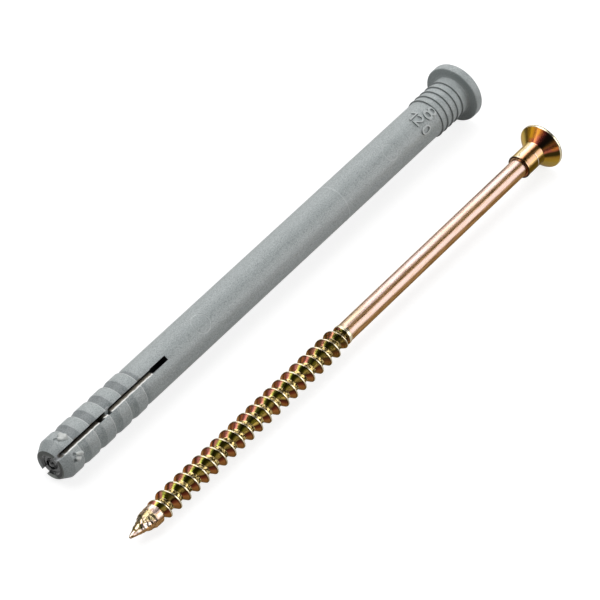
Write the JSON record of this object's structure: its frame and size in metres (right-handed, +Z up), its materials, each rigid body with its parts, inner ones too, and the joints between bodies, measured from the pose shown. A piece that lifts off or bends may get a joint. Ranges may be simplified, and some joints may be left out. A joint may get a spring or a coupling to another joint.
{
  "type": "hammer fixing plug",
  "caption": "Slotted grey nylon hammer-fixing sleeve with barbs, ringed neck and collar, beside its yellow zinc-plated threaded nail with a countersunk cross-recess head.",
  "frame": {"origin": "on the ground, below the middle of both pieces' box", "axes": "+X along the sleeve from its tip to its collar, +Y from the nail to the sleeve, +Z up"},
  "size_m": [0.1256, 0.032, 0.0118],
  "materials": {
    "sleeve_nylon": "matte moulded grey nylon",
    "nail_zinc": "yellow-passivated zinc plating, glossy with pink and green tints"
  },
  "bodies": {
    "root": {"sleeve": "sleeve_nylon", "nail_screw": "nail_zinc"}
  },
  "joints": []
}
